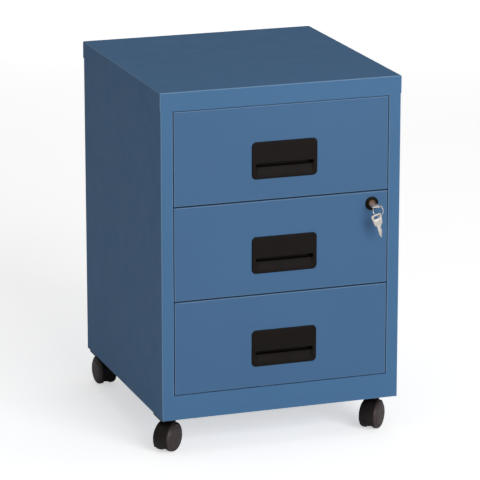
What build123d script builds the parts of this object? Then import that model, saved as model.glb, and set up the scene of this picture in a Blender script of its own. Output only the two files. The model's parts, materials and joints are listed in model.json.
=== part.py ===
"""Three-drawer mobile filing cabinet in sheet steel, on four twin-wheel castors.

Millimetres, +Z up.  The cabinet stands on the floor at Z = 0 with its front towards -Y.
The origin is on the floor, under the middle of the whole object with its key in the lock.
"""
from build123d import *
from math import cos, radians, sin
import os

os.makedirs("parts", exist_ok=True)

# ---------------------------------------------------------------- driving dimensions
WIDTH = 400.0               # over the top's side skirts
DEPTH = 420.0               # over the top's front and back skirts
BODY_HEIGHT = 530.0         # steel body, without the castors
CASTOR_HEIGHT = 60.0
SHEET = 1.0                 # steel thickness
BEND_R = 2.0                # outer radius of a press-brake bend
KEY_REACH = 26.0            # how far the key stands out in front of the body
FRONT_REACH = 32.0          # key and ring in front of the body
BACK_REACH = 6.0            # the back castors behind the body

# front frame
SKIRT = 28.0                # height of the top's skirt
TOP_RAIL = 30.5
BOTTOM_RAIL = 40.2
STILE = 21.0                # measured from the outer width
RETURN = 18.0               # depth of the returned edges round the opening
CORNER_LAP = 4.0            # the side sheet wraps this far round below the stile
OVERHANG = 1.0              # the top stands proud of the side and back sheets
BACK_FLANGE = 15.0          # the side sheet's flange behind the back panel

# drawers
DRAWERS = 3
FRONT_GAP = 2.2             # between two drawer fronts
SIDE_GAP = 1.2              # between a drawer front and the stile
FRONT_DEPTH = 18.0
FRONT_EDGE_R = 1.6
TRAY_HALF_W = 170.0
TRAY_RISE = 14.0            # tray floor above the front's lower edge
TRAY_HEIGHT = 105.0
TRAY_BACK_GAP = 25.0        # between the tray and the cabinet's back

# recessed pull
PULL_W = 109.0
PULL_H = 60.0
PULL_PROUD = 1.6
PULL_CORNER_R = 7.5
PULL_SHIFT = 4.0            # to the right of the middle
PULL_DROP = 12.0            # below the middle of the front
POCKET_W = 98.0
POCKET_TOP = 23.0           # above the pull's middle
POCKET_BOTTOM = -28.5
POCKET_DEPTH = 15.0
POCKET_WALL = 2.0
HOOD_EDGE = -4.5            # lower edge of the flat panel that the fingers hook behind
HOOD_THICK = 3.5
RAMP_LOW = -26.5
RAMP_HIGH = -12.3
RAMP_DEPTH = 9.0

# runners
RAIL_X = 181.0              # mounting face of the cabinet rails
RAIL_LIP_X = 172.5
CHANNEL = 18.0              # clear height inside a cabinet rail
RAIL_START = 42.0           # behind the front plane
RAIL_END = 25.0             # ahead of the back
DRAWER_RAIL_TIP = 177.5
ROLLER_R = 7.5
ROLLER_W = 4.2
ROLLER_RISE = 7.7           # axis above the channel floor
ROLLER_X = 173.1            # inner face of every roller
FRONT_PIN_HEAD_X = 172.9
REAR_PIN_HEAD_X = 177.9
ROLLER_PIN_R = 2.0
PIN_HEAD_T = 0.8
RUNNING_GAP = 0.05          # radial clearance of a turning part on its pin
FRONT_ROLLER_Y = 50.0       # behind the front plane
REAR_ROLLER_Y = 40.0        # ahead of the back
POST_W = 25.0
POST_INSET = 75.0            # clear of the castor screws

# lock
LOCK_X = 151.0
LOCK_DROP = 19.0            # below the top of the middle drawer's front
ROSETTE_R = 11.0
ROSETTE_T = 2.0
BARREL_R = 8.8
BARREL_END = 14.0
PLUG_R = 6.0
PLUG_PROUD = 0.6
PLUG_END = 14.6
CAM_REACH = 32.0
CAM_W = 10.0
CAM_T = 1.8
BAR_TRAVEL = 12.0
BAR_X = 184.0
BAR_Y = 26.0                # behind the front plane
BAR_W = 12.0
BAR_T = 2.0
CATCH_RISE = 30.0           # drawer catch above the tray floor
CATCH_H = 10.0
HOOK_T = 5.0

# keys
KEY_T = 2.0
BOW_W = 18.0
BOW_NECK_W = 13.0
BOW_L = 19.0
BLADE_W = 7.6
BLADE_L = 20.5
BOW_NECK_LAP = 1.0          # the blade runs this far into the bow
RING_SLOT_W = 10.5
RING_SLOT_H = 5.0
RING_EDGE = 2.4             # material between the slot and the bow's end
RING_R = 8.5
RING_WIRE_R = 0.7
RING_TURN = -50.0           # direction of the ring's plane, seen from above
SPARE_TURN = -85.0          # direction that the spare key's face looks in
SPARE_LEAN = 17.0

# castors
PLATE = 46.0
PLATE_T = 5.0
CASTOR_INSET = 26.0         # kingpin from the body's sides and back
CASTOR_FRONT_INSET = 39.0   # kingpin from the body's front
WHEEL_R = 22.5
TREAD_W = 5.0
WHEEL_W = 10.0
WHEEL_ROUNDING = 4.0        # between the tread and the outer face
WHEEL_CROWN_R = 9.0         # the flat middle of the outer face
WHEEL_GAP = 13.0            # between the two wheels
TRAIL = 8.0
AXLE_R = 3.0
KINGPIN_R = 4.0
HOUSING_R = 25.2
HOUSING_T = 1.7
HOUSING_LIFT = 9.0          # lower edge of the housing's shell above the floor
WEB_LIFT = 7.5              # lower edge of the web between the wheels
WEB_CLEAR = 0.7             # web to wheel
NECK_R = 9.0
NECK_LOW = 34.0
KINGPIN_CLEAR = 2.0         # lower end of the kingpin above the wheels
SCREW_SPACING = 33.0
SCREW_R = 2.5
SCREW_HEAD_R = 4.4
SCREW_HEAD_T = 2.4
SWIVELS = {"front_left": 220.0, "front_right": 226.0, "back_left": 97.0, "back_right": 60.0}

# ---------------------------------------------------------------- derived positions
FRONT = -(FRONT_REACH + DEPTH + BACK_REACH) / 2 + FRONT_REACH
BACK = FRONT + DEPTH
MIDDLE_Y = (FRONT + BACK) / 2
BASE = CASTOR_HEIGHT
TOP = BASE + BODY_HEIGHT
SIDE_X = WIDTH / 2 - OVERHANG
OPEN_X = WIDTH / 2 - STILE
OPEN_LOW = BASE + BOTTOM_RAIL
OPEN_HIGH = TOP - TOP_RAIL
PITCH = (OPEN_HIGH - OPEN_LOW) / DRAWERS
FRONT_H = PITCH - FRONT_GAP
FRONT_HALF_W = OPEN_X - SIDE_GAP
RING_SLOT_Y = RING_EDGE + RING_SLOT_H / 2
BOW_END = FRONT - KEY_REACH
RIVET_R = 2.0
RIVET_HEAD_R = 3.4
RIVET_HEAD_T = 0.9
RIVET_X = SIDE_X - 9
RIVET_HEIGHTS = [BASE + 60 + 135 * step for step in range(4)]
CLEAR = 0.4                 # general gap between parts that slide past each other


def front_low(number):
    """Height of a drawer front's lower edge; drawer 1 is the top one."""
    return OPEN_HIGH - number * PITCH + FRONT_GAP / 2


def tray_low(number):
    """Height of a tray's underside, which is also its rails' datum."""
    return front_low(number) + TRAY_RISE


LOCK_Z = front_low(2) + FRONT_H - LOCK_DROP


def save(piece, name):
    """Label a finished piece and write its file."""
    piece.part.label = name
    export_step(piece.part, f"parts/{name}.step")


def box_between(low, high, mode=Mode.ADD):
    """Box between two corners, for use inside a part's own block."""
    middle = tuple((a + b) / 2 for a, b in zip(low, high))
    with Locations(middle):
        Box(*[abs(b - a) for a, b in zip(low, high)], mode=mode)


def bent_sheet(points, inward, radius=BEND_R):
    """Cut section of a bent sheet whose outer skin follows the points."""
    with BuildLine() as skin:
        FilletPolyline(*points, radius=radius)
        offset(amount=SHEET, side=inward)
    make_face(skin.edges())


# ---------------------------------------------------------------- cabinet body
with BuildPart() as top_panel:
    with BuildSketch(Plane.XY.offset(TOP - SKIRT)):
        with Locations((0, MIDDLE_Y)):
            RectangleRounded(WIDTH, DEPTH, BEND_R)
    extrude(amount=SKIRT)
    fillet(top_panel.faces().sort_by(Axis.Z)[-1].edges(), BEND_R)
    offset(amount=-SHEET, openings=top_panel.faces().sort_by(Axis.Z)[0])
    box_between((-OPEN_X, FRONT, OPEN_HIGH), (OPEN_X, FRONT + SHEET, TOP - SKIRT))
    box_between((-OPEN_X, FRONT, OPEN_HIGH), (OPEN_X, FRONT + RETURN, OPEN_HIGH + SHEET))
save(top_panel, "top_panel")


def side_panel(side, name):
    """Side sheet with its stile and returned edge in front and a flange behind."""
    inward = Side.LEFT if side > 0 else Side.RIGHT
    back = BACK - OVERHANG
    with BuildPart() as panel:
        with BuildSketch(Plane.XY.offset(BASE)):
            bent_sheet([(side * OPEN_X, FRONT + RETURN), (side * OPEN_X, FRONT), (side * SIDE_X, FRONT),
                        (side * SIDE_X, back), (side * (SIDE_X - BACK_FLANGE), back)], inward)
        extrude(amount=BODY_HEIGHT - 2 * SHEET)
        # the stile stops under the top's skirt and on the bottom rail
        box_between((side * WIDTH / 2 - STILE - 5, FRONT - 1, TOP - SKIRT),
                    (side * WIDTH / 2 + STILE + 5, FRONT + BEND_R, TOP), Mode.SUBTRACT)
        lap = side * (SIDE_X - CORNER_LAP)
        inner = side * (OPEN_X - 5)
        box_between((min(lap, inner), FRONT - 1, BASE - 1), (max(lap, inner), FRONT + RETURN + 1, OPEN_LOW),
                    Mode.SUBTRACT)
        for height in RIVET_HEIGHTS:
            with Locations(Plane.XZ.offset(-back) * Location((side * RIVET_X, height, 0))):
                Hole(RIVET_R, depth=4)
        if side > 0:
            # slot where the cam passes when the lock is turned
            box_between((OPEN_X - 1, FRONT + BARREL_END - 0.5, LOCK_Z - 22),
                        (OPEN_X + 2, FRONT + RETURN + 1, LOCK_Z + 8), Mode.SUBTRACT)
    save(panel, name)


side_panel(-1, "left_side_panel")
side_panel(1, "right_side_panel")

with BuildPart() as back_panel:
    box_between((-SIDE_X + 3, BACK - OVERHANG - 2 * SHEET, BASE + 2),
                (SIDE_X - 3, BACK - OVERHANG - SHEET, TOP - 3))
    for height in RIVET_HEIGHTS:
        for side in (-1, 1):
            with Locations(Plane.XZ.offset(-BACK) * Location((side * RIVET_X, height, 0))):
                Hole(RIVET_R, depth=6)
save(back_panel, "back_panel")

with BuildPart() as back_rivets:
    for height in RIVET_HEIGHTS:
        for side in (-1, 1):
            rivet = Plane((side * RIVET_X, BACK - OVERHANG, height), z_dir=(0, 1, 0))
            with BuildSketch(rivet):
                Circle(RIVET_HEAD_R)
            extrude(amount=RIVET_HEAD_T)
            with BuildSketch(rivet):
                Circle(RIVET_R)
            extrude(amount=-2 * SHEET)
save(back_rivets, "back_rivets")


def castor_spots():
    """Name, x and y of each castor's kingpin."""
    reach = WIDTH / 2 - CASTOR_INSET
    front, back = FRONT + CASTOR_FRONT_INSET, BACK - CASTOR_INSET
    return {"front_left": (-reach, front), "front_right": (reach, front),
            "back_left": (-reach, back), "back_right": (reach, back)}


with BuildPart() as bottom_panel:
    rear = BACK - OVERHANG - 2 * SHEET
    box_between((-SIDE_X + 2 * SHEET, FRONT + SHEET, BASE), (SIDE_X - 2 * SHEET, rear, BASE + SHEET))
    box_between((-SIDE_X + CORNER_LAP, FRONT, BASE), (SIDE_X - CORNER_LAP, FRONT + SHEET, OPEN_LOW))
    box_between((-OPEN_X, FRONT, OPEN_LOW - SHEET), (OPEN_X, FRONT + RETURN, OPEN_LOW))
    box_between((-SIDE_X + 20, rear - SHEET, BASE), (SIDE_X - 20, rear, BASE + 20))
    for spot in castor_spots().values():
        with Locations((*spot, BASE + SHEET)):
            with GridLocations(SCREW_SPACING, SCREW_SPACING, 2, 2):
                Hole(SCREW_R, depth=3 * SHEET)
    fillet(bottom_panel.edges().filter_by(Axis.X).group_by(Axis.Y)[0].sort_by(Axis.Z)[0], 0.8)
save(bottom_panel, "bottom_panel")

with BuildPart() as runner_posts:
    for side in (-1, 1):
        for start in (FRONT + POST_INSET, BACK - POST_INSET - POST_W):
            with BuildSketch(Plane.XY.offset(BASE + SHEET)):
                bent_sheet([(side * (SIDE_X - SHEET), start), (side * RAIL_X, start),
                            (side * RAIL_X, start + POST_W), (side * (SIDE_X - SHEET), start + POST_W)],
                           Side.LEFT if side < 0 else Side.RIGHT)
            extrude(amount=BODY_HEIGHT - 3 * SHEET)
save(runner_posts, "runner_posts")

# ---------------------------------------------------------------- runners
def stub_pin(x_root, x_head, y, z):
    """Roller pin from a rail's web at x_root to its head beyond x_head."""
    outward = 1 if x_head > x_root else -1
    pin = Plane((x_root, y, z), x_dir=(0, 1, 0), z_dir=(outward, 0, 0))
    with BuildSketch(pin) as shank:
        Circle(ROLLER_PIN_R)
    extrude(shank.sketch, amount=abs(x_head - x_root) + PIN_HEAD_T)
    with BuildSketch(pin.offset(abs(x_head - x_root))) as head:
        Circle(ROLLER_PIN_R + 1.2)
    extrude(head.sketch, amount=PIN_HEAD_T)


def rollers(y, z, x_low, name):
    """Left and right plastic roller on one line across the cabinet."""
    with BuildPart() as pair:
        for side in (-1, 1):
            face = Plane((side * x_low, y, z), x_dir=(0, 1, 0), z_dir=(side, 0, 0))
            with BuildSketch(face):
                Circle(ROLLER_R)
                Circle(ROLLER_PIN_R + RUNNING_GAP, mode=Mode.SUBTRACT)
            extrude(amount=ROLLER_W)
        chamfer(pair.edges().filter_by(GeomType.CIRCLE).filter_by(lambda e: e.radius > ROLLER_PIN_R + 1), 0.5)
    save(pair, name)


for number in range(1, DRAWERS + 1):
    floor = tray_low(number)
    with BuildPart() as cabinet_rails:
        for side in (-1, 1):
            with BuildSketch(Plane.XZ.offset(-(FRONT + RAIL_START))):
                bent_sheet([(side * RAIL_LIP_X, floor - SHEET), (side * RAIL_X, floor - SHEET),
                            (side * RAIL_X, floor + CHANNEL + SHEET),
                            (side * RAIL_LIP_X, floor + CHANNEL + SHEET)],
                           Side.LEFT if side > 0 else Side.RIGHT, radius=1.5)
            extrude(amount=-(BACK - RAIL_END - FRONT - RAIL_START))
            stub_pin(side * (RAIL_X - SHEET), side * FRONT_PIN_HEAD_X, FRONT + FRONT_ROLLER_Y,
                     floor + ROLLER_RISE)
    save(cabinet_rails, f"cabinet_rails_{number}")
    rollers(FRONT + FRONT_ROLLER_Y, floor + ROLLER_RISE, ROLLER_X, f"cabinet_rollers_{number}")
    rollers(BACK - REAR_ROLLER_Y, floor + ROLLER_RISE, ROLLER_X, f"drawer_{number}_rollers")

    with BuildPart() as drawer_rails:
        flange = floor + ROLLER_RISE + ROLLER_R + 0.3
        for side in (-1, 1):
            web = sorted((side * TRAY_HALF_W, side * (TRAY_HALF_W + SHEET)))
            tip = sorted((side * TRAY_HALF_W, side * DRAWER_RAIL_TIP))
            box_between((web[0], FRONT + FRONT_DEPTH, floor + 2), (web[1], BACK - RAIL_END - 3, flange + SHEET))
            box_between((tip[0], FRONT + FRONT_DEPTH, flange), (tip[1], BACK - RAIL_END - 3, flange + SHEET))
            stub_pin(side * (TRAY_HALF_W + SHEET), side * REAR_PIN_HEAD_X, BACK - REAR_ROLLER_Y,
                     floor + ROLLER_RISE)
    save(drawer_rails, f"drawer_{number}_rails")


# ---------------------------------------------------------------- drawers
def drawer_front(number):
    """Pressed front pan with a window for the pull, and a lock hole in the middle one."""
    low = front_low(number)
    with BuildPart() as pan:
        box_between((-FRONT_HALF_W, FRONT, low), (FRONT_HALF_W, FRONT + FRONT_DEPTH, low + FRONT_H))
        face = pan.faces().sort_by(Axis.Y)[0]
        fillet(face.edges(), FRONT_EDGE_R)
        offset(amount=-SHEET, openings=pan.faces().sort_by(Axis.Y)[-1])
        middle = low + FRONT_H / 2 - PULL_DROP
        box_between((PULL_SHIFT - POCKET_W / 2, FRONT - 1, middle + POCKET_BOTTOM),
                    (PULL_SHIFT + POCKET_W / 2, FRONT + 2, middle + POCKET_TOP), Mode.SUBTRACT)
        if number == 2:
            with Locations(Plane((LOCK_X, FRONT, LOCK_Z), z_dir=(0, -1, 0))):
                Hole(BARREL_R, depth=2 * SHEET)
            box_between((FRONT_HALF_W - 3, FRONT + BARREL_END - 0.5, LOCK_Z - 22),
                        (FRONT_HALF_W + 1, FRONT + FRONT_DEPTH + 1, LOCK_Z + 8), Mode.SUBTRACT)
    save(pan, f"drawer_{number}_front")


def drawer_tray(number):
    """Open tray with the inner plate that closes the front pan, and a catch for the lock bar."""
    low = front_low(number)
    floor = tray_low(number)
    rear = BACK - TRAY_BACK_GAP
    start = FRONT + FRONT_DEPTH
    with BuildPart() as tray:
        box_between((-TRAY_HALF_W, start - SHEET, floor), (TRAY_HALF_W, rear, floor + TRAY_HEIGHT))
        box_between((-TRAY_HALF_W + SHEET, start, floor + SHEET),
                    (TRAY_HALF_W - SHEET, rear - SHEET, floor + TRAY_HEIGHT + 1), Mode.SUBTRACT)
        box_between((-FRONT_HALF_W + SHEET, start - SHEET, low + SHEET),
                    (FRONT_HALF_W - SHEET, start, low + FRONT_H - SHEET))
        catch = floor + CATCH_RISE
        box_between((TRAY_HALF_W - SHEET, FRONT + BAR_Y + HOOK_T + 3, catch),
                    (DRAWER_RAIL_TIP - 0.5, FRONT + BAR_Y + HOOK_T + 6, catch + CATCH_H))
    save(tray, f"drawer_{number}_tray")


def drawer_pull(number):
    """Black recessed pull: a flat panel above, and a ramp that leads the fingers up behind it."""
    middle = front_low(number) + FRONT_H / 2 - PULL_DROP
    with BuildPart() as pull:
        with BuildSketch(Plane((PULL_SHIFT, FRONT, middle), x_dir=(1, 0, 0), z_dir=(0, -1, 0))):
            RectangleRounded(PULL_W, PULL_H, PULL_CORNER_R)
        extrude(amount=PULL_PROUD)
        fillet(pull.faces().sort_by(Axis.Y)[0].edges(), 1.0)
        box_between((PULL_SHIFT - POCKET_W / 2, FRONT, middle + POCKET_BOTTOM),
                    (PULL_SHIFT + POCKET_W / 2, FRONT + POCKET_DEPTH, middle + POCKET_TOP))
        cavity_half = POCKET_W / 2 - POCKET_WALL
        with BuildSketch(Plane((PULL_SHIFT - cavity_half, FRONT, middle), x_dir=(0, 1, 0), z_dir=(1, 0, 0))):
            with BuildLine():
                Polyline((-PULL_PROUD - 1, RAMP_LOW - 1.5), (-PULL_PROUD - 1, HOOD_EDGE), (HOOD_THICK, HOOD_EDGE),
                         (HOOD_THICK, POCKET_TOP - POCKET_WALL),
                         (POCKET_DEPTH - POCKET_WALL, POCKET_TOP - POCKET_WALL),
                         (POCKET_DEPTH - POCKET_WALL, RAMP_HIGH), (RAMP_DEPTH, RAMP_HIGH), close=True)
            make_face()
        extrude(amount=2 * cavity_half, mode=Mode.SUBTRACT)
    save(pull, f"drawer_{number}_handle")


for number in range(1, DRAWERS + 1):
    drawer_front(number)
    drawer_tray(number)
    drawer_pull(number)

# ---------------------------------------------------------------- lock
LOCK_FACE = Plane((LOCK_X, FRONT, LOCK_Z), x_dir=(1, 0, 0), z_dir=(0, -1, 0))

with BuildPart() as lock_cylinder:
    with BuildSketch(LOCK_FACE):
        Circle(ROSETTE_R)
    extrude(amount=ROSETTE_T)
    fillet(lock_cylinder.faces().sort_by(Axis.Y)[0].edges(), 0.8)
    with BuildSketch(LOCK_FACE.offset(-BARREL_END)):
        Circle(BARREL_R)
    extrude(amount=BARREL_END)
    with BuildSketch(LOCK_FACE.offset(-BARREL_END)):
        Circle(PLUG_R + RUNNING_GAP)
    extrude(amount=BARREL_END + ROSETTE_T, mode=Mode.SUBTRACT)
save(lock_cylinder, "lock_cylinder")

with BuildPart() as lock_nut:
    with BuildSketch(LOCK_FACE.offset(-SHEET - 3)):
        RegularPolygon(BARREL_R + 4, 6)
        Circle(BARREL_R, mode=Mode.SUBTRACT)
    extrude(amount=3)
save(lock_nut, "lock_nut")

with BuildPart() as lock_plug:
    with BuildSketch(LOCK_FACE.offset(-PLUG_END)):
        Circle(PLUG_R)
    extrude(amount=PLUG_END + ROSETTE_T + PLUG_PROUD)
    fillet(lock_plug.faces().sort_by(Axis.Y)[0].edges(), 0.4)
    keyway_end = BOW_L + BLADE_L - KEY_REACH + CLEAR
    with BuildSketch(LOCK_FACE.offset(-keyway_end)):
        Rectangle(BLADE_W, KEY_T)
    extrude(amount=keyway_end + ROSETTE_T + PLUG_PROUD, mode=Mode.SUBTRACT)
save(lock_plug, "lock_plug")

with BuildPart() as lock_cam:
    with BuildSketch(LOCK_FACE.offset(-PLUG_END - CAM_T)):
        Circle(CAM_W / 2 + 2)
        with Locations((0, -CAM_REACH / 2)):
            Rectangle(CAM_W, CAM_REACH)
    extrude(amount=CAM_T)
save(lock_cam, "lock_cam")


def key_outline():
    """Flat key seen from its face: bow at the top end, blade along -Y, ring slot near the top edge."""
    with BuildLine() as bow:
        FilletPolyline((-BOW_W / 2, 0), (BOW_W / 2, 0), (BOW_NECK_W / 2, -BOW_L), (-BOW_NECK_W / 2, -BOW_L),
                       radius=2.0, close=True)
    make_face(bow.edges())
    with Locations((0, -BOW_L - BLADE_L / 2 + BOW_NECK_LAP / 2)):
        Rectangle(BLADE_W, BLADE_L + BOW_NECK_LAP)
    with Locations((0, -RING_SLOT_Y)):
        RectangleRounded(RING_SLOT_W, RING_SLOT_H, RING_SLOT_H / 2 - 0.01, mode=Mode.SUBTRACT)


# the key lies flat in the lock: its face looks up and its blade points into the cylinder
with BuildPart() as key:
    with BuildSketch(Plane((LOCK_X, BOW_END, LOCK_Z - KEY_T / 2), x_dir=(-1, 0, 0), z_dir=(0, 0, 1))):
        key_outline()
    extrude(amount=KEY_T)
save(key, "key")

RING_DIRECTION = Vector(cos(radians(RING_TURN)), sin(radians(RING_TURN)), 0)
RING_NORMAL = Vector(-sin(radians(RING_TURN)), cos(radians(RING_TURN)), 0)
HANG_GAP = 0.5
SPARE_GAP = 0.9
SPARE_SIDE = 2.4
RING_SHIFT = 1.2
RING_CENTRE = Vector(LOCK_X + RING_SHIFT, BOW_END + RING_EDGE / 2,
                     LOCK_Z + KEY_T / 2 + HANG_GAP - (RING_R - RING_WIRE_R))

with BuildPart() as key_ring:
    with BuildSketch(Plane(RING_CENTRE, x_dir=RING_DIRECTION, z_dir=(0, 0, 1))):
        with Locations((RING_R, 0)):
            Circle(RING_WIRE_R)
    revolve(axis=Axis(RING_CENTRE, RING_NORMAL))
save(key_ring, "key_ring")

# the spare key hangs from the ring's lowest point, which sits at the right end of its slot
WIRE_POINT = RING_CENTRE - Vector(0, 0, RING_R)
SPARE_FACE = Vector(cos(radians(SPARE_TURN)), sin(radians(SPARE_TURN)), 0)
SPARE_RIGHT = Vector(0, 0, 1).cross(SPARE_FACE)
SPARE_ACROSS = SPARE_RIGHT * cos(radians(SPARE_LEAN)) + Vector(0, 0, 1) * sin(radians(SPARE_LEAN))
SPARE_HANG_X = RING_SLOT_W / 2 - SPARE_SIDE
SPARE_HANG_Y = -RING_EDGE - RING_WIRE_R - SPARE_GAP
SPARE_UP = SPARE_FACE.cross(SPARE_ACROSS)
SPARE_ORIGIN = WIRE_POINT - SPARE_ACROSS * SPARE_HANG_X - SPARE_UP * SPARE_HANG_Y - SPARE_FACE * (KEY_T / 2)

with BuildPart() as spare_key:
    with BuildSketch(Plane(SPARE_ORIGIN, x_dir=SPARE_ACROSS, z_dir=SPARE_FACE)):
        key_outline()
    extrude(amount=KEY_T)
save(spare_key, "spare_key")

with BuildPart() as lock_bar:
    x_far = BAR_X + BAR_T
    y_near = FRONT + BAR_Y
    box_between((BAR_X, y_near, OPEN_LOW + 6), (x_far, y_near + BAR_W, OPEN_HIGH - 30))
    for number in range(1, DRAWERS + 1):
        hook = tray_low(number) + CATCH_RISE - BAR_TRAVEL
        box_between((RAIL_LIP_X + 0.5, y_near, hook), (x_far, y_near + HOOK_T, hook + CATCH_H))
    finger = LOCK_Z + CAM_W / 2 + 0.5 - BAR_TRAVEL
    box_between((OPEN_X + 2, FRONT + BARREL_END, finger), (x_far, y_near + 4, finger + 4))
save(lock_bar, "lock_bar")

with BuildPart() as lock_bar_guides:
    for height in (OPEN_LOW + 90, OPEN_HIGH - 68):
        box_between((BAR_X - CLEAR - 1.2, y_near - CLEAR - 1.2, height),
                    (SIDE_X - SHEET, y_near + BAR_W + CLEAR + 1.2, height + 12))
        box_between((BAR_X - CLEAR, y_near - CLEAR, height - 1),
                    (x_far + CLEAR, y_near + BAR_W + CLEAR, height + 13), Mode.SUBTRACT)
save(lock_bar_guides, "lock_bar_guides")


# ---------------------------------------------------------------- castors
def castor(name, spot, swivel):
    """Plate with kingpin, swivelling housing, axle and two wheels; X of the ground plane is the trail."""
    ground = Plane((*spot, 0), x_dir=(cos(radians(swivel)), sin(radians(swivel)), 0), z_dir=(0, 0, 1))
    plate_low = BASE - PLATE_T
    neck_top = plate_low - CLEAR
    kingpin_low = 2 * WHEEL_R + KINGPIN_CLEAR
    hub = ground.origin + ground.x_dir * TRAIL + Vector(0, 0, WHEEL_R)
    cover_half = WHEEL_GAP / 2 + TREAD_W
    web_half = WHEEL_GAP / 2 - WEB_CLEAR
    shell_low = HOUSING_LIFT - WHEEL_R
    web_low = WEB_LIFT - WHEEL_R

    with BuildPart() as plate:
        with BuildSketch(Plane((*spot, plate_low))):
            RectangleRounded(PLATE, PLATE, 8)
        extrude(amount=PLATE_T)
        with BuildSketch(Plane((*spot, kingpin_low))):
            Circle(KINGPIN_R)
        extrude(amount=plate_low + 1 - kingpin_low)
        with Locations(Plane((*spot, plate_low), z_dir=(0, 0, -1))):
            with GridLocations(SCREW_SPACING, SCREW_SPACING, 2, 2):
                CounterBoreHole(SCREW_R, SCREW_HEAD_R, SCREW_HEAD_T, depth=PLATE_T)
    save(plate, f"castor_plate_{name}")

    side = Plane(hub, x_dir=ground.x_dir, z_dir=-ground.y_dir)
    with BuildPart() as housing:
        # neck round the kingpin, cut away where the wheels turn
        with BuildSketch(ground.offset(NECK_LOW)):
            Circle(NECK_R)
        extrude(amount=neck_top - NECK_LOW)
        with BuildSketch(side.offset(-cover_half)):
            Circle(HOUSING_R - HOUSING_T)
        extrude(amount=2 * cover_half, mode=Mode.SUBTRACT)
        # shell round both treads, open below
        with BuildSketch(side.offset(-cover_half)):
            Circle(HOUSING_R)
            Circle(HOUSING_R - HOUSING_T, mode=Mode.SUBTRACT)
            with Locations((0, shell_low - HOUSING_R)):
                Rectangle(2 * HOUSING_R, 2 * HOUSING_R, mode=Mode.SUBTRACT)
        extrude(amount=2 * cover_half)
        # web between the wheels
        with BuildSketch(side.offset(-web_half)):
            Circle(HOUSING_R - HOUSING_T / 2)
            with Locations((0, web_low - HOUSING_R)):
                Rectangle(2 * HOUSING_R, 2 * HOUSING_R, mode=Mode.SUBTRACT)
        extrude(amount=2 * web_half)
        with BuildSketch(ground.offset(kingpin_low - RUNNING_GAP)):
            Circle(KINGPIN_R + RUNNING_GAP)
        extrude(amount=neck_top + 1 - kingpin_low + RUNNING_GAP, mode=Mode.SUBTRACT)
        with BuildSketch(side.offset(-cover_half)):
            Circle(AXLE_R)
        extrude(amount=2 * cover_half, mode=Mode.SUBTRACT)
    save(housing, f"castor_housing_{name}")

    with BuildPart() as axle:
        with BuildSketch(side.offset(-cover_half)):
            Circle(AXLE_R)
        extrude(amount=2 * cover_half)
    save(axle, f"castor_axle_{name}")

    for end, label in ((1, "left"), (-1, "right")):
        outward = ground.y_dir * end
        with BuildPart() as wheel:
            with BuildSketch(Plane(hub, x_dir=outward, z_dir=outward.cross(Vector(0, 0, 1)))):
                with BuildLine():
                    inner, outer = WHEEL_GAP / 2, WHEEL_GAP / 2 + WHEEL_W
                    tread_end = (inner + TREAD_W, WHEEL_R)
                    face_edge = (tread_end[0] + WHEEL_ROUNDING, WHEEL_R - WHEEL_ROUNDING)
                    Polyline(tread_end, (inner, WHEEL_R), (inner, 0), (outer, 0), (outer, WHEEL_CROWN_R), face_edge)
                    RadiusArc(tread_end, face_edge, WHEEL_ROUNDING)
                make_face()
            revolve(axis=Axis(hub, outward))
            with BuildSketch(Plane(hub + outward * (WHEEL_GAP / 2), z_dir=outward)):
                Circle(AXLE_R + RUNNING_GAP)
            extrude(amount=TREAD_W + CLEAR, mode=Mode.SUBTRACT)
        save(wheel, f"castor_wheel_{name}_{label}")


for name, kingpin in castor_spots().items():
    castor(name, kingpin, SWIVELS[name])

with BuildPart() as castor_screws:
    for spot in castor_spots().values():
        for corner in GridLocations(SCREW_SPACING, SCREW_SPACING, 2, 2):
            place = (spot[0] + corner.position.X, spot[1] + corner.position.Y)
            with BuildSketch(Plane((*place, BASE - PLATE_T))):
                Circle(SCREW_HEAD_R)
            extrude(amount=SCREW_HEAD_T)
            with BuildSketch(Plane((*place, BASE - PLATE_T))):
                Circle(SCREW_R)
            extrude(amount=PLATE_T + SHEET + 3)
save(castor_screws, "castor_screws")
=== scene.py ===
"""Looks of the three-drawer mobile filing cabinet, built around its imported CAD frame."""
import json
from math import cos, pi, radians, sin, sqrt
import bmesh
import bpy
from mathutils import Matrix, Vector

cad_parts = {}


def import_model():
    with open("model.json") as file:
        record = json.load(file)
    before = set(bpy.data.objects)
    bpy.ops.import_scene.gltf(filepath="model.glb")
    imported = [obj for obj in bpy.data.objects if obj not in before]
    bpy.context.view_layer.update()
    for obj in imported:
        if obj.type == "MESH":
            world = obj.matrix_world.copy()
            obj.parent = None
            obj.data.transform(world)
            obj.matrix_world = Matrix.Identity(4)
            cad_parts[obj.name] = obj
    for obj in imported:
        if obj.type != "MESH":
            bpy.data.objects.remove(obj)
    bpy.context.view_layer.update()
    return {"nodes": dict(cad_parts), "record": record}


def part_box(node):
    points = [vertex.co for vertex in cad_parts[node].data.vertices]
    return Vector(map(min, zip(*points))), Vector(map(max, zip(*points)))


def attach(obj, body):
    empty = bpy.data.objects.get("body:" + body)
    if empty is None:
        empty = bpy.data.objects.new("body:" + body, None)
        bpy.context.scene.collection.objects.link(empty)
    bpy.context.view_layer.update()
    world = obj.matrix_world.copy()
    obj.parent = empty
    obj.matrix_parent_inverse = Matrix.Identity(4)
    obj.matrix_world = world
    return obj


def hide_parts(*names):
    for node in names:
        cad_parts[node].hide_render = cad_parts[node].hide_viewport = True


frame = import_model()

NODES = frame["nodes"]
SLOT_OF = {part["node"]: part["material_slot"] for part in frame["record"]["subparts"]}
BODY_OF = {}
for body, nodes in frame["record"]["behaviour"]["bodies"].items():
    for node in nodes:
        BODY_OF[node] = body

MM = 0.001

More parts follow.
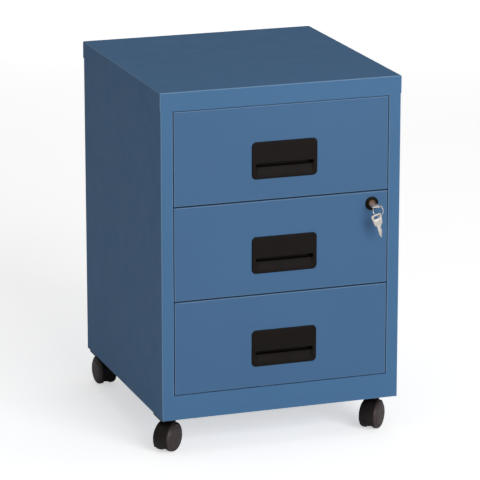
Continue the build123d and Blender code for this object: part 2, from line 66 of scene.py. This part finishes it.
# colours are linear RGB
PAINT_BLUE = (0.080, 0.196, 0.372)
# the body's blue with painted shade: a little darker, for the drawer parts
SHADED_DRAWER_BLUE = (0.0765, 0.176, 0.335)
# painted highlight: the lighter blue that rounded bends are coloured with, in place of a reflection
PAINTED_BEND_HIGHLIGHT = (0.25, 0.40, 0.58)
ZINC = (0.56, 0.57, 0.58)
BRIGHT_ZINC = (0.62, 0.62, 0.60)
BLACK_PULL = (0.0070, 0.0042, 0.0028)
BLACK_PLASTIC = (0.015, 0.0105, 0.0095)
WHEEL_GREY = (0.060, 0.043, 0.042)
NYLON = (0.72, 0.70, 0.64)
LOCK_BLACK = (0.020, 0.017, 0.014)
NICKEL = (0.86, 0.80, 0.73)
PLUG_BROWN = (0.16, 0.105, 0.08)

NOISE_LOW, NOISE_HIGH = 0.3, 0.7    # most values of a noise lie between these
PAINTED_HIGHLIGHT_SHARE = 0.7                    # how much of the painted highlight a bend shows
FLAT_NORMAL = 0.99                  # a normal's largest part on a flat face
BENT_NORMAL = 0.85                  # and where a face counts as fully bent


# ---------------------------------------------------------------- materials
class Surface:
    """Small builder for one procedural material, in object coordinates (metres)."""

    def __init__(self, name, roughness, metallic=0.0, specular=0.5):
        self.material = bpy.data.materials.new(name)
        self.material.use_nodes = True
        self.tree = self.material.node_tree
        self.shader = self.tree.nodes["Principled BSDF"]
        self.shader.inputs["Roughness"].default_value = roughness
        self.shader.inputs["Metallic"].default_value = metallic
        self.shader.inputs["Specular IOR Level"].default_value = specular
        coordinates = self.tree.nodes.new("ShaderNodeTexCoord")
        self.place = coordinates.outputs["Object"]
        self.normal = coordinates.outputs["Normal"]

    def noise(self, size, detail=3.0, stretch=(1, 1, 1)):
        """Noise whose features are about size metres across."""
        mapping = self.tree.nodes.new("ShaderNodeMapping")
        mapping.inputs["Scale"].default_value = stretch
        self.tree.links.new(self.place, mapping.inputs["Vector"])
        node = self.tree.nodes.new("ShaderNodeTexNoise")
        node.inputs["Scale"].default_value = 1 / size
        node.inputs["Detail"].default_value = detail
        self.tree.links.new(mapping.outputs["Vector"], node.inputs["Vector"])
        return node.outputs["Fac"]

    def cells(self, size):
        """Random value per cell, for the spangle of zinc."""
        node = self.tree.nodes.new("ShaderNodeTexVoronoi")
        node.inputs["Scale"].default_value = 1 / size
        self.tree.links.new(self.place, node.inputs["Vector"])
        grey = self.tree.nodes.new("ShaderNodeRGBToBW")
        self.tree.links.new(node.outputs["Color"], grey.inputs["Color"])
        return grey.outputs["Val"]

    def ramp(self, value, low_color, high_color, start=NOISE_LOW, end=NOISE_HIGH):
        """Blend of two colours over a value."""
        node = self.tree.nodes.new("ShaderNodeValToRGB")
        node.color_ramp.elements[0].position = start
        node.color_ramp.elements[1].position = end
        node.color_ramp.elements[0].color = (*low_color, 1)
        node.color_ramp.elements[1].color = (*high_color, 1)
        self.tree.links.new(value, node.inputs["Fac"])
        return node.outputs["Color"]

    def spread(self, value, low, high):
        """A value between NOISE_LOW and NOISE_HIGH mapped to low..high."""
        node = self.tree.nodes.new("ShaderNodeMapRange")
        node.inputs["From Min"].default_value = NOISE_LOW
        node.inputs["From Max"].default_value = NOISE_HIGH
        node.inputs["To Min"].default_value = low
        node.inputs["To Max"].default_value = high
        self.tree.links.new(value, node.inputs["Value"])
        return node.outputs["Result"]

    def mix(self, factor, first, second):
        """Blend of a colour output and a fixed colour."""
        node = self.tree.nodes.new("ShaderNodeMix")
        node.data_type = "RGBA"
        node.inputs["B"].default_value = (*second, 1)
        self.tree.links.new(factor, node.inputs["Factor"])
        self.tree.links.new(first, node.inputs["A"])
        return node.outputs["Result"]

    def bend_highlight_mask(self):
        """Mask of the painted highlight: PAINTED_HIGHLIGHT_SHARE on a rounded bend, 0 on faces that lie along
        the axes.
        """
        axes = self.tree.nodes.new("ShaderNodeSeparateXYZ")
        self.tree.links.new(self.normal, axes.inputs["Vector"])
        longest = None
        for axis in ("X", "Y", "Z"):
            size = self.tree.nodes.new("ShaderNodeMath")
            size.operation = "ABSOLUTE"
            self.tree.links.new(axes.outputs[axis], size.inputs[0])
            if longest is None:
                longest = size.outputs[0]
                continue
            larger = self.tree.nodes.new("ShaderNodeMath")
            larger.operation = "MAXIMUM"
            self.tree.links.new(longest, larger.inputs[0])
            self.tree.links.new(size.outputs[0], larger.inputs[1])
            longest = larger.outputs[0]
        node = self.tree.nodes.new("ShaderNodeMapRange")
        node.interpolation_type = "SMOOTHSTEP"
        node.inputs["From Min"].default_value = FLAT_NORMAL
        node.inputs["From Max"].default_value = BENT_NORMAL
        node.inputs["To Max"].default_value = PAINTED_HIGHLIGHT_SHARE
        self.tree.links.new(longest, node.inputs["Value"])
        return node.outputs["Result"]

    def color(self, output):
        self.tree.links.new(output, self.shader.inputs["Base Color"])

    def roughness(self, output):
        self.tree.links.new(output, self.shader.inputs["Roughness"])

    def bump(self, value, height):
        """Relief of the given height in metres."""
        node = self.tree.nodes.new("ShaderNodeBump")
        node.inputs["Distance"].default_value = height
        self.tree.links.new(value, node.inputs["Height"])
        previous = self.shader.inputs["Normal"]
        if previous.is_linked:
            self.tree.links.new(previous.links[0].from_socket, node.inputs["Normal"])
        self.tree.links.new(node.outputs["Normal"], self.shader.inputs["Normal"])


def shade(color, factor):
    """A lighter or darker version of a colour."""
    return tuple(min(1.0, channel * factor) for channel in color)


def powder_coat(name, color):
    """Satin powder coat: faint orange peel, a slight drift of tone, and a painted highlight, a lighter colour
    on every rounded bend.
    """
    surface = Surface(name, 0.5, specular=0.14)
    tone = surface.ramp(surface.noise(0.16, 2), shade(color, 0.98), shade(color, 1.02))
    # painted highlight: the colour of rounded bend faces is mixed towards a lighter blue
    surface.color(surface.mix(surface.bend_highlight_mask(), tone, PAINTED_BEND_HIGHLIGHT))
    surface.roughness(surface.spread(surface.noise(0.03), 0.46, 0.54))
    surface.bump(surface.noise(0.0022, 2), 0.00003)
    surface.bump(surface.noise(0.0006, 2), 0.00002)
    return surface.material


def galvanised():
    """Sheet zinc with its spangle."""
    surface = Surface("galvanised_sheet", 0.38, metallic=0.9)
    surface.color(surface.ramp(surface.cells(0.006), shade(ZINC, 0.82), shade(ZINC, 1.1), 0.1, 0.9))
    surface.roughness(surface.spread(surface.noise(0.004), 0.3, 0.48))
    surface.bump(surface.noise(0.001), 0.00001)
    return surface.material


def plated(name, color, roughness, metallic=1.0):
    """Plated small metal with fine scratches."""
    surface = Surface(name, roughness, metallic=metallic)
    surface.color(surface.ramp(surface.noise(0.003), shade(color, 0.9), color))
    brushed = surface.noise(0.0012, stretch=(1, 1, 6))
    surface.roughness(surface.spread(brushed, roughness - 0.07, roughness + 0.08))
    surface.bump(surface.noise(0.0004, stretch=(1, 1, 8)), 0.000006)
    return surface.material


def moulded(name, color, roughness, specular=0.4):
    """Moulded plastic with a fine spark-eroded grain."""
    surface = Surface(name, roughness, specular=specular)
    surface.color(surface.ramp(surface.noise(0.02), shade(color, 0.85), shade(color, 1.15)))
    surface.roughness(surface.spread(surface.noise(0.005), roughness - 0.05, roughness + 0.06))
    surface.bump(surface.noise(0.0005, 2), 0.00003)
    return surface.material


MATERIALS = {
    "blue_paint": powder_coat("blue_powder_coat", PAINT_BLUE),
    # painted shade: the drawers get a darker copy of the body's paint
    "drawer_paint_with_shade": powder_coat("drawer_powder_coat_with_shade", SHADED_DRAWER_BLUE),
    "galvanised": galvanised(),
    "steel": plated("bright_zinc", BRIGHT_ZINC, 0.3),
    "black_plastic": moulded("black_moulding", BLACK_PLASTIC, 0.42, specular=0.3),
    "pull_plastic": moulded("pull_moulding", BLACK_PULL, 0.55, specular=0.16),
    "wheel_plastic": moulded("wheel_moulding", WHEEL_GREY, 0.4),
    "roller_plastic": moulded("nylon", NYLON, 0.45),
    "lock_metal": plated("black_plated_zinc", LOCK_BLACK, 0.35),
    "plug_metal": plated("brown_plated_plug", PLUG_BROWN, 0.42),
    "key_metal": plated("nickel", NICKEL, 0.26, metallic=0.7),
}
for node, item in NODES.items():
    # blue drawer parts take the copy of the paint with painted shade
    look = "drawer_paint_with_shade" if node.startswith("drawer_") and SLOT_OF[node] == "blue_paint" else SLOT_OF[node]
    for spot in item.material_slots:
        spot.material = MATERIALS[look]


# ---------------------------------------------------------------- pieces
SOFT_ANGLE = 35             # degrees above which soften rounds an edge
SOFT_SEGMENTS = 2
LATHE_STEPS = 96


def add_piece(name, mesh, node, look=None):
    """Link a mesh as a piece that rides with a CAD node's body and stands for that node."""
    piece = bpy.data.objects.new(name, mesh)
    bpy.context.collection.objects.link(piece)
    mesh.materials.clear()
    mesh.materials.append(MATERIALS[look or SLOT_OF[node]])
    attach(piece, BODY_OF[node])
    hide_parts(node)
    return piece


def smooth(mesh, angle=32):
    """Smooth shading with creases above an angle in degrees."""
    mesh.shade_smooth()
    mesh.set_sharp_from_angle(angle=radians(angle))


def finished(mesh, name):
    """Turn a bmesh into a shaded mesh with outward normals."""
    bmesh.ops.recalc_face_normals(mesh, faces=mesh.faces)
    data = bpy.data.meshes.new(name)
    mesh.to_mesh(data)
    mesh.free()
    smooth(data)
    return data


def soften(node, width, look=None):
    """Stand-in for a CAD node with its sharp edges rounded off by a width in metres."""
    work = bmesh.new()
    work.from_mesh(NODES[node].data)
    bmesh.ops.remove_doubles(work, verts=work.verts, dist=1e-6)
    bmesh.ops.dissolve_limit(work, angle_limit=radians(1), verts=work.verts, edges=work.edges)
    sharp = [edge for edge in work.edges if len(edge.link_faces) == 2
             and edge.calc_face_angle(0) > radians(SOFT_ANGLE)]
    bmesh.ops.bevel(work, geom=sharp, offset=width, segments=SOFT_SEGMENTS, profile=0.6,
                    affect="EDGES", clamp_overlap=True)
    return add_piece(node + "_soft", finished(work, node + "_soft"), node, look)


def lathe(work, profile, origin, axis, across, closed=False):
    """Turn (along, radius) points about an axis; an open profile ends on the axis, a closed one is a ring."""
    axis, across = Vector(axis).normalized(), Vector(across).normalized()
    upward = axis.cross(across)
    rings = []
    for step in range(LATHE_STEPS):
        turn = 2 * pi * step / LATHE_STEPS
        spoke = across * cos(turn) + upward * sin(turn)
        rings.append([work.verts.new(origin + axis * along + spoke * radius) for along, radius in profile])
    spans = len(profile) if closed else len(profile) - 1
    for step in range(LATHE_STEPS):
        ring, following = rings[step], rings[(step + 1) % LATHE_STEPS]
        for point in range(spans):
            after = (point + 1) % len(profile)
            work.faces.new((ring[point], ring[after], following[after], following[point]))
    bmesh.ops.remove_doubles(work, verts=work.verts, dist=1e-7)


# ---------------------------------------------------------------- castors
# (out from the castor's middle, radius) in millimetres, inner bore to the middle of the outer face
WHEEL_PROFILE = [
    (11.8, 0.0), (11.8, 3.2), (6.9, 3.2), (6.5, 3.6), (6.5, 7.4), (7.3, 7.9), (7.3, 17.6), (6.5, 18.1),
    (6.5, 21.6), (6.75, 22.15), (7.3, 22.42), (8.0, 22.5), (11.4, 22.5), (12.6, 22.3), (13.6, 21.7),
    (14.35, 20.8), (14.8, 19.7), (14.95, 18.9), (14.75, 18.6), (14.3, 18.45), (14.1, 18.15), (14.2, 17.8),
    (14.6, 17.5), (15.1, 17.0), (15.5, 16.2), (15.85, 14.6), (16.15, 12.2), (16.35, 9.4), (16.42, 7.2),
    (16.3, 6.85), (16.05, 6.7), (16.0, 6.3), (16.2, 6.05), (16.4, 5.7), (16.5, 4.6), (16.5, 0.0)]
WHEEL_R = 22.5


def in_metres(profile):
    """A profile in millimetres as one in metres."""
    return [(along * MM, radius * MM) for along, radius in profile]


def castor(corner):
    """Two domed wheels, and softened edges on the housing and the plate."""
    wheels = [f"castor_wheel_{corner}_{side}" for side in ("left", "right")]
    middles = []
    for wheel in wheels:
        low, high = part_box(wheel)
        middles.append((low + high) / 2)
    hub = (middles[0] + middles[1]) / 2
    hub.z = WHEEL_R * MM
    outward = middles[0] - middles[1]
    outward.z = 0
    outward.normalize()
    for wheel, side in zip(wheels, (outward, -outward)):
        work = bmesh.new()
        lathe(work, in_metres(WHEEL_PROFILE), hub, side, (0, 0, 1))
        add_piece(wheel + "_moulded", finished(work, wheel), wheel)
    soften(f"castor_housing_{corner}", 0.0006)
    soften(f"castor_plate_{corner}", 0.0005)


for corner in ("front_left", "front_right", "back_left", "back_right"):
    castor(corner)

# ---------------------------------------------------------------- pulls
# millimetres; heights are measured up from the pull's middle, depths back from its face
PULL_CORNER = 7.5
PULL_PROUD = 1.6
SLOT_HALF_W = 48.0
SLOT_HIGH = -4.5
SLOT_LOW = -10.4
SLOT_DEPTH = 12.0
RAMP_FOOT = -27.5
RAMP_DEPTH = 2.0
RAMP_SIDE = 3.0             # over which the ramp fades out at each side
SLOT_EDGE = 0.35            # half of the width over which the slot's rim rounds off
CORNER_REACH = 2.4 * PULL_CORNER    # how far in from each side the grid follows the corners
PULL_WALL = 1.2
COLUMN_STEPS = (0.4, 3.0)   # finest and coarsest grid step, across
ROW_STEPS = (0.3, 2.0)      # and up


def eased(value):
    """0 to 1 with level ends."""
    value = min(1.0, max(0.0, value))
    return value * value * (3 - 2 * value)


def pull_depth(x, z, border):
    """Depth of the pull's face at a point; border is the distance to the outline."""
    edge = PULL_PROUD * (1 - sqrt(max(0.0, 1 - max(0.0, 1 - border / PULL_PROUD) ** 2)))
    inside = SLOT_HALF_W - abs(x)
    across = eased(inside / RAMP_SIDE)
    depth = edge
    if RAMP_FOOT < z <= SLOT_LOW:
        depth += RAMP_DEPTH * eased((z - RAMP_FOOT) / (SLOT_LOW - RAMP_FOOT)) * across
    middle = (SLOT_HIGH + SLOT_LOW) / 2
    radius = (SLOT_HIGH - SLOT_LOW) / 2
    beyond = max(0.0, abs(x) - (SLOT_HALF_W - radius))
    away = sqrt(beyond ** 2 + (z - middle) ** 2) - radius
    if away < SLOT_EDGE:
        depth = max(depth, SLOT_DEPTH * eased((SLOT_EDGE - away) / (2 * SLOT_EDGE)))
    return depth


def spaced(stops, fine, coarse):
    """Grid positions between the first and the last stop, close together near every stop."""
    values = [stops[0]]
    while values[-1] < stops[-1] - 1e-6:
        here = values[-1]
        nearest = min(abs(here + fine / 2 - stop) for stop in stops)
        step = min(coarse, max(fine, nearest * 0.5))
        following = [stop for stop in stops if stop > here + 1e-6][0]
        values.append(min(here + step, following))
    return values


def drawer_pull(number):
    """One moulding: rounded plate, slot for the fingers and a shallow ramp below it."""
    node = f"drawer_{number}_handle"
    low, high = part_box(node)
    half_w, half_h = (high.x - low.x) / 2 / MM, (high.z - low.z) / 2 / MM
    middle = (low + high) / 2
    columns = spaced([-half_w, -SLOT_HALF_W, SLOT_HALF_W, half_w], *COLUMN_STEPS)
    rows = spaced([-half_h, RAMP_FOOT, SLOT_LOW, SLOT_HIGH, half_h], *ROW_STEPS)
    work = bmesh.new()
    lines = []
    for z in rows:
        rise = max(0.0, abs(z) - (half_h - PULL_CORNER))
        narrow = PULL_CORNER - sqrt(max(0.0, PULL_CORNER ** 2 - rise ** 2))
        line = []
        for x in columns:
            side = 1 if x > 0 else -1
            x_here = x - narrow * side * eased((abs(x) - half_w + CORNER_REACH) / CORNER_REACH)
            corner_x = abs(x_here) - (half_w - PULL_CORNER)
            corner_z = abs(z) - (half_h - PULL_CORNER)
            if corner_x > 0 and corner_z > 0:
                border = PULL_CORNER - sqrt(corner_x ** 2 + corner_z ** 2)
            else:
                border = min(half_w - abs(x_here), half_h - abs(z))
            depth = pull_depth(x_here, z, max(0.0, border))
            line.append(work.verts.new((middle.x + x_here * MM, low.y + depth * MM, middle.z + z * MM)))
        lines.append(line)
    for line, above in zip(lines, lines[1:]):
        for column in range(len(columns) - 1):
            work.faces.new((line[column], line[column + 1], above[column + 1], above[column]))
    bmesh.ops.remove_doubles(work, verts=work.verts, dist=2e-6)
    bmesh.ops.recalc_face_normals(work, faces=work.faces)
    data = bpy.data.meshes.new(node + "_moulded")
    work.to_mesh(data)
    work.free()
    if data.polygons[0].normal.y > 0:
        data.flip_normals()
    smooth(data, 50)
    piece = add_piece(node + "_moulded", data, node, look="pull_plastic")
    wall = piece.modifiers.new("wall", "SOLIDIFY")
    wall.thickness = PULL_WALL * MM
    wall.offset = -1
    wall.use_even_offset = False


for number in (1, 2, 3):
    drawer_pull(number)

# ---------------------------------------------------------------- lock and keys
# millimetres, seen from the face with the bow's end at the top
KEY_HALF_T = 0.95
KEY_EDGE = 0.22
BOW_W, BOW_NECK_W, BOW_L = 18.0, 13.0, 19.0
BLADE_W, BLADE_L = 7.6, 20.5
KEY_SLOT_W, KEY_SLOT_H, KEY_SLOT_DROP = 10.5, 5.0, 2.4
TOOTH_STEP = 2.7
TOOTH_START = 3.6
TOOTH_DEPTHS = (1.6, 3.0, 1.2, 2.6, 3.6, 4.6)
BOW_CORNER = 2.4
ARC_STEP = 15               # degrees between the points of a rounded corner
PAD_RISE = 0.1
PAD_TAPER = 0.94            # a pad's top as a share of its foot
BOW_PAD = [(-5.8, -9.6), (5.8, -9.6), (4.6, -16.8), (-4.6, -16.8)]
BLADE_PAD = [(-2.6, -20.5), (-0.9, -20.5), (-0.9, -35.0), (-2.0, -36.0)]


def arc(middle_x, middle_y, radius, first, last):
    """Points of a rounded corner between two angles in degrees."""
    return [(middle_x + radius * cos(radians(turn)), middle_y + radius * sin(radians(turn)))
            for turn in range(first, last + 1, ARC_STEP)]


def key_plate():
    """Outlines of a flat key and its ring slot."""
    half = BOW_W / 2
    neck = BOW_NECK_W / 2
    outline = arc(half - BOW_CORNER, -BOW_CORNER, BOW_CORNER, 0, 90)
    outline += arc(-half + BOW_CORNER, -BOW_CORNER, BOW_CORNER, 90, 180)
    outline += [(-neck - 0.4, -BOW_L + 2.2), (-neck + 1.2, -BOW_L), (-BLADE_W / 2, -BOW_L - 0.2)]
    end = -BOW_L - BLADE_L
    outline += [(-BLADE_W / 2, end + 5.5), (-BLADE_W / 2 + 1.6, end + 1.2)]
    outline += [(-0.6, end + 0.05), (0.2, end + 0.1)]
    edge = []
    for count, cut in enumerate(TOOTH_DEPTHS):
        along = -BOW_L - TOOTH_START - count * TOOTH_STEP
        edge += [(BLADE_W / 2 - (0.4 if count < 4 else cut - 2.2), along + TOOTH_STEP / 2 - 0.35),
                 (BLADE_W / 2 - cut, along + 0.5), (BLADE_W / 2 - cut, along - 0.5)]
    outline += list(reversed(edge))
    outline += [(BLADE_W / 2, -BOW_L - 1.6), (BLADE_W / 2, -BOW_L - 0.2)]
    outline += [(neck - 1.2, -BOW_L), (neck + 0.4, -BOW_L + 2.2)]
    corner = KEY_SLOT_H / 2
    slot_y = -KEY_SLOT_DROP - corner
    hole = arc(KEY_SLOT_W / 2 - corner, slot_y, corner, -90, 90)
    hole += arc(-KEY_SLOT_W / 2 + corner, slot_y, corner, 90, 270)
    return outline, hole


def plate_mesh(name, loops, half_thickness, edge):
    """A flat plate with holes and bevelled edges, lying in its own ground plane."""
    curve = bpy.data.curves.new(name, "CURVE")
    curve.dimensions = "2D"
    curve.fill_mode = "BOTH"
    curve.extrude = (half_thickness - edge) * MM
    curve.bevel_depth = edge * MM
    curve.bevel_resolution = 2
    curve.offset = -edge * MM
    for loop in loops:
        spline = curve.splines.new("POLY")
        spline.points.add(len(loop) - 1)
        for point, (x, y) in zip(spline.points, loop):
            point.co = (x * MM, y * MM, 0, 1)
        spline.use_cyclic_u = True
    holder = bpy.data.objects.new(name, curve)
    bpy.context.collection.objects.link(holder)
    bpy.context.view_layer.update()
    graph = bpy.context.evaluated_depsgraph_get()
    data = bpy.data.meshes.new_from_object(holder.evaluated_get(graph))
    bpy.data.objects.remove(holder)
    bpy.data.curves.remove(curve)
    work = bmesh.new()
    work.from_mesh(data)
    bmesh.ops.remove_doubles(work, verts=work.verts, dist=1e-6)
    bpy.data.meshes.remove(data)
    return work


def face_pad(work, outline):
    """A thin raised panel with sloping sides on both faces of a key."""
    middle_x = sum(x for x, _ in outline) / len(outline)
    middle_y = sum(y for _, y in outline) / len(outline)
    for side in (1, -1):
        base = [work.verts.new((x * MM, y * MM, side * (KEY_HALF_T - PAD_RISE) * MM)) for x, y in outline]
        top = [work.verts.new(((middle_x + (x - middle_x) * PAD_TAPER) * MM,
                               (middle_y + (y - middle_y) * PAD_TAPER) * MM,
                               side * KEY_HALF_T * MM)) for x, y in outline]
        for first in range(len(outline)):
            second = (first + 1) % len(outline)
            work.faces.new((base[first], base[second], top[second], top[first]))
        work.faces.new(top)
        work.faces.new(base)


def key_piece(node, origin, across, upward):
    """A flat key with a ring slot, a raised panel on its bow, a ridge on its blade and cut teeth."""
    outline, hole = key_plate()
    work = plate_mesh(node, (outline, hole), KEY_HALF_T - PAD_RISE, KEY_EDGE)
    face_pad(work, BOW_PAD)
    face_pad(work, BLADE_PAD)
    across, upward = Vector(across).normalized(), Vector(upward).normalized()
    facing = across.cross(upward)
    turn = Matrix((across, upward, facing)).transposed().to_4x4()
    bmesh.ops.transform(work, matrix=Matrix.Translation(origin) @ turn, verts=work.verts)
    return add_piece(node + "_cut", finished(work, node), node)


low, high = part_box("key")
key_piece("key", Vector(((low.x + high.x) / 2, low.y, (low.z + high.z) / 2)), (-1, 0, 0), (0, -1, 0))

# the spare key's plane, as in the CAD model
SPARE_TURN = radians(-85.0)
SPARE_LEAN = radians(17.0)
facing = Vector((cos(SPARE_TURN), sin(SPARE_TURN), 0))
right = Vector((0, 0, 1)).cross(facing)
across = right * cos(SPARE_LEAN) + Vector((0, 0, 1)) * sin(SPARE_LEAN)
upward = facing.cross(across)


def spare_origin():
    """Middle of the spare key's upper edge, from the box of its CAD node along its own axes."""
    corners = [vertex.co for vertex in NODES["spare_key"].data.vertices]
    middle = (min(c.dot(across) for c in corners) + max(c.dot(across) for c in corners)) / 2
    top = max(c.dot(upward) for c in corners)
    depth = (min(c.dot(facing) for c in corners) + max(c.dot(facing) for c in corners)) / 2
    return across * middle + upward * top + facing * depth


key_piece("spare_key", spare_origin(), across, upward)


RING_WIRE = 0.00048         # the wire's radius, in metres
RING_STEPS = 104
RING_START, RING_SWEEP = 70, 712    # degrees
RING_SPREAD = 0.98          # each turn's distance from the ring's plane, in wire radii
CROSSING_START, CROSSING_LENGTH = 0.42, 0.16    # where the wire changes sides, as shares of its length


def split_ring():
    """Two close turns of round spring wire, in a plane 5 degrees off the CAD ring's."""
    node = "key_ring"
    low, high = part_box(node)
    centre = (low + high) / 2
    outer = (high.z - low.z) / 2
    radius = outer - RING_WIRE
    plane = Vector((1, -1, 0)).normalized()
    normal = Vector((1, 1, 0)).normalized()
    curve = bpy.data.curves.new(node, "CURVE")
    curve.dimensions = "3D"
    curve.bevel_depth = RING_WIRE
    curve.bevel_resolution = 4
    curve.use_fill_caps = True
    spline = curve.splines.new("POLY")
    spline.points.add(RING_STEPS)
    for step in range(RING_STEPS + 1):
        share = step / RING_STEPS
        turn = radians(RING_START) + share * radians(RING_SWEEP)
        crossed = eased((share - CROSSING_START) / CROSSING_LENGTH)
        shift = normal * (RING_WIRE * RING_SPREAD * (crossed * 2 - 1))
        place = centre + (plane * cos(turn) + Vector((0, 0, 1)) * sin(turn)) * radius + shift
        spline.points[step].co = (*place, 1)
    holder = bpy.data.objects.new(node, curve)
    bpy.context.collection.objects.link(holder)
    bpy.context.view_layer.update()
    data = bpy.data.meshes.new_from_object(holder.evaluated_get(bpy.context.evaluated_depsgraph_get()))
    bpy.data.objects.remove(holder)
    bpy.data.curves.remove(curve)
    smooth(data, 40)
    add_piece("key_ring_split", data, node)


split_ring()


# (forward of the rosette's face, radius) in millimetres
ROSETTE_RIM = [(0.0, 9.9), (-0.35, 10.6), (-0.9, 10.95), (-1.6, 11.0), (-2.0, 11.0)]
ROSETTE_DISH = [(-0.75, 6.5), (-0.75, 8.3), (-0.3, 8.9), (0.0, 9.3)]
BARREL_R = 8.8
RIB_ROOT_R = 8.45
RIBS = 8                    # one each millimetre
PLUG_BORE_R = 6.05


def lock_faces():
    """Rosette with a raised rim and a dished face; softened plug with its keyway."""
    low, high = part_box("lock_cylinder")
    centre = Vector(((low.x + high.x) / 2, low.y, (low.z + high.z) / 2))
    depth = (high.y - low.y) / MM
    profile = ROSETTE_RIM + [(-2.0, BARREL_R), (-4.0, BARREL_R)]
    for count in range(RIBS):
        profile += [(-4.4 - count, BARREL_R), (-4.65 - count, RIB_ROOT_R), (-5.15 - count, RIB_ROOT_R)]
    profile += [(-depth, BARREL_R), (-depth, PLUG_BORE_R), (-0.9, PLUG_BORE_R)] + ROSETTE_DISH
    work = bmesh.new()
    lathe(work, in_metres(profile), centre, (0, -1, 0), (0, 0, 1), closed=True)
    add_piece("lock_cylinder_turned", finished(work, "lock_cylinder"), "lock_cylinder")
    soften("lock_plug", 0.0003, "plug_metal")
    soften("lock_cam", 0.0003)
    soften("lock_nut", 0.0004)


lock_faces()

for number in (1, 2, 3):
    for part in ("rails", "rollers", "tray"):
        soften(f"drawer_{number}_{part}", 0.0003)
    soften(f"cabinet_rollers_{number}", 0.0003)
soften("lock_bar", 0.0003)
soften("castor_screws", 0.0005)
soften("back_rivets", 0.0004)


# ---------------------------------------------------------------- stage
SKY_GLOW = 0.25
FLOOR_GLOW = 0.02
HORIZON_BAND = 0.4          # the glow changes between this far below and above the horizon
FLOOR_LIFT = 0.55           # the floor's own light, seen by the camera only


def camera():
    """Long lens, well back, above and to the left of the cabinet."""
    data = bpy.data.cameras.new("camera")
    data.lens = 233.4
    data.sensor_width = 36
    data.clip_end = 50
    item = bpy.data.objects.new("camera", data)
    bpy.context.collection.objects.link(item)
    yaw, pitch = radians(19.1), radians(15.31)
    look = Vector((sin(yaw) * cos(pitch), cos(yaw) * cos(pitch), -sin(pitch)))
    item.location = (-1.608, -4.639, 1.6325)
    item.rotation_euler = look.to_track_quat("-Z", "Y").to_euler()
    bpy.context.scene.camera = item


def area_light(name, place, target, size, power):
    """Large soft box aimed at a point."""
    data = bpy.data.lights.new(name, "AREA")
    data.shape = "RECTANGLE"
    data.size, data.size_y = size
    data.energy = power
    item = bpy.data.objects.new(name, data)
    bpy.context.collection.objects.link(item)
    item.location = place
    item.rotation_euler = (Vector(target) - Vector(place)).to_track_quat("-Z", "Y").to_euler()


def floor_plane():
    """Pale floor that reaches far beyond the view."""
    mesh = bpy.data.meshes.new("studio_floor")
    reach = 30.0
    mesh.from_pydata([(-reach, -reach, 0), (reach, -reach, 0), (reach, reach, 0), (-reach, reach, 0)], [],
                     [(0, 1, 2, 3)])
    item = bpy.data.objects.new("studio_floor", mesh)
    bpy.context.collection.objects.link(item)
    surface = Surface("studio_floor", 0.9, specular=0.1)
    surface.color(surface.ramp(surface.noise(0.5), (0.93, 0.93, 0.93), (0.95, 0.95, 0.95)))
    rays = surface.tree.nodes.new("ShaderNodeLightPath")
    lift = surface.tree.nodes.new("ShaderNodeMath")
    lift.operation = "MULTIPLY"
    lift.inputs[1].default_value = FLOOR_LIFT
    surface.tree.links.new(rays.outputs["Is Camera Ray"], lift.inputs[0])
    surface.tree.links.new(lift.outputs[0], surface.shader.inputs["Emission Strength"])
    surface.shader.inputs["Emission Color"].default_value = (1, 1, 1, 1)
    mesh.materials.append(surface.material)


def world():
    """White backdrop for the camera; the cabinet is lit by dimmer surroundings, darker below."""
    item = bpy.data.worlds.new("studio")
    bpy.context.scene.world = item
    item.use_nodes = True
    tree = item.node_tree
    background = tree.nodes["Background"]
    direction = tree.nodes.new("ShaderNodeTexCoord").outputs["Generated"]
    height = tree.nodes.new("ShaderNodeSeparateXYZ")
    tree.links.new(direction, height.inputs["Vector"])
    level = tree.nodes.new("ShaderNodeMapRange")
    level.inputs["From Min"].default_value = -HORIZON_BAND
    level.inputs["From Max"].default_value = HORIZON_BAND
    level.inputs["To Min"].default_value = FLOOR_GLOW
    level.inputs["To Max"].default_value = SKY_GLOW
    tree.links.new(height.outputs["Z"], level.inputs["Value"])
    rays = tree.nodes.new("ShaderNodeLightPath")
    choose = tree.nodes.new("ShaderNodeMix")
    tree.links.new(rays.outputs["Is Camera Ray"], choose.inputs["Factor"])
    tree.links.new(level.outputs["Result"], choose.inputs["A"])
    choose.inputs["B"].default_value = 1.0
    tree.links.new(choose.outputs["Result"], background.inputs["Strength"])
    background.inputs["Color"].default_value = (1, 1, 1, 1)


camera()
floor_plane()
world()
area_light("front_softbox", (1.0, -4.4, 2.2), (0, 0, 0.35), (3.0, 2.4), 121)
area_light("top_softbox", (0.2, 0.2, 4.0), (0, 0, 0.5), (3.5, 3.5), 15)
area_light("back_softbox", (1.5, 4.2, 0.3), (0, 0, 0.3), (3.0, 0.45), 26)
bpy.context.scene.view_settings.view_transform = "Standard"
